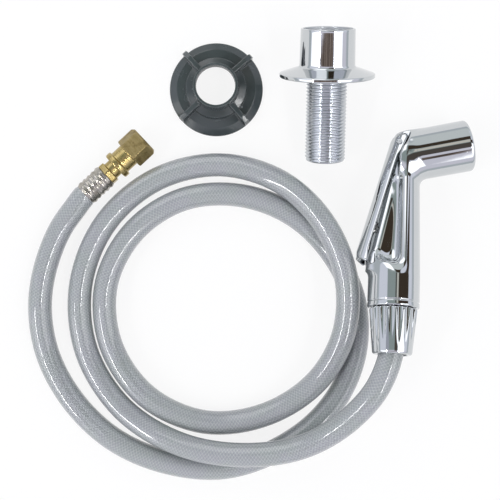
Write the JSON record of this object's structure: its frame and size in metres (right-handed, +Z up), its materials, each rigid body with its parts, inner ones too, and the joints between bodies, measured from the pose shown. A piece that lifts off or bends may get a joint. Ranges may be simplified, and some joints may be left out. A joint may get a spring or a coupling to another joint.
{
  "type": "sink side spray kit",
  "caption": "Chrome sink side spray with a squeeze lever on a coiled braided hose, its brass swivel nut, a threaded hose guide and a winged mounting nut.",
  "frame": {"origin": "on the surface that the kit lies on, below the middle of the box round the pieces that are not on the free hose", "axes": "+Z up, away from the surface; +Y from the coils of the hose towards the hose guide; +X towards the spray head's nozzle"},
  "size_m": [0.2386, 0.2423, 0.0478],
  "materials": {
    "chrome": "polished chrome plating",
    "steel": "bright steel",
    "brass": "machined brass",
    "hose": "clear PVC over a woven braid",
    "rubber": "moulded rubber",
    "black_plastic": "moulded black plastic",
    "grey_plastic": "moulded dark plastic",
    "white_plastic": "moulded acetal"
  },
  "bodies": {
    "hose_assembly": {"hose": "hose", "hose_coupler": "white_plastic", "snap_ring": "steel", "swivel_o_ring": "rubber", "coupler_washer": "rubber", "head_ferrule": "steel", "crimp_ferrule": "steel", "tailpiece": "brass"},
    "spray_head": {"head_shell": "chrome", "spray_face": "grey_plastic", "nozzle_ring": "chrome", "face_seal": "rubber", "lever_pin": "steel", "valve_cartridge": "white_plastic", "cartridge_o_ring": "rubber", "stem_o_ring": "rubber", "valve_spring": "steel"},
    "lever": {"lever": "chrome"},
    "valve_plunger": {"valve_stem": "white_plastic", "valve_seal": "rubber"},
    "coupling_nut": {"coupling_nut": "chrome"},
    "swivel_nut": {"swivel_nut": "brass", "nut_gasket": "rubber"},
    "hose_guide": {"hose_guide": "chrome"},
    "mounting_nut": {"mounting_nut": "black_plastic"}
  },
  "joints": [
    {"name": "head_roll", "type": "hinge", "parent": "hose_assembly", "child": "spray_head", "pos_m": [0.04028, 0.01714, 0.0137], "axis": [-0.0563, -0.9774, 0.2038], "range_deg": [0, 90]},
    {"name": "lever_squeeze", "type": "hinge", "parent": "spray_head", "child": "lever", "pos_m": [0.04102, 0.02404, 0.01227], "axis": [-0.0382, 0.2061, 0.9778], "range_deg": [0, 3], "stiffness_Nm_per_rad": 2, "springref_deg": -2.86},
    {"name": "valve_travel", "type": "slide", "parent": "spray_head", "child": "valve_plunger", "axis": [0.9977, -0.0472, 0.0489], "range_m": [0, 0.0026], "deforming": ["valve_spring"]},
    {"name": "coupling_spin", "type": "hinge", "parent": "spray_head", "child": "coupling_nut", "pos_m": [0.04028, 0.01714, 0.0137], "axis": [0.0563, 0.9774, -0.2038], "continuous": true},
    {"name": "swivel_spin", "type": "hinge", "parent": "hose_assembly", "child": "swivel_nut", "pos_m": [-0.1265, -0.0015, 0.00785], "axis": [0.7314, 0.682, 0], "continuous": true},
    {"name": "guide_lift", "type": "slide", "parent": "hose_assembly", "child": "hose_guide", "axis": [0, 0, 1], "range_m": [0, 0.06]},
    {"name": "nut_lift", "type": "slide", "parent": "hose_assembly", "child": "mounting_nut", "axis": [0, 0, 1], "range_m": [0, 0.06]}
  ],
  "couplings": [
    {"joint": "valve_travel", "follows": "lever_squeeze", "m_per_rad": 0.0478}
  ]
}
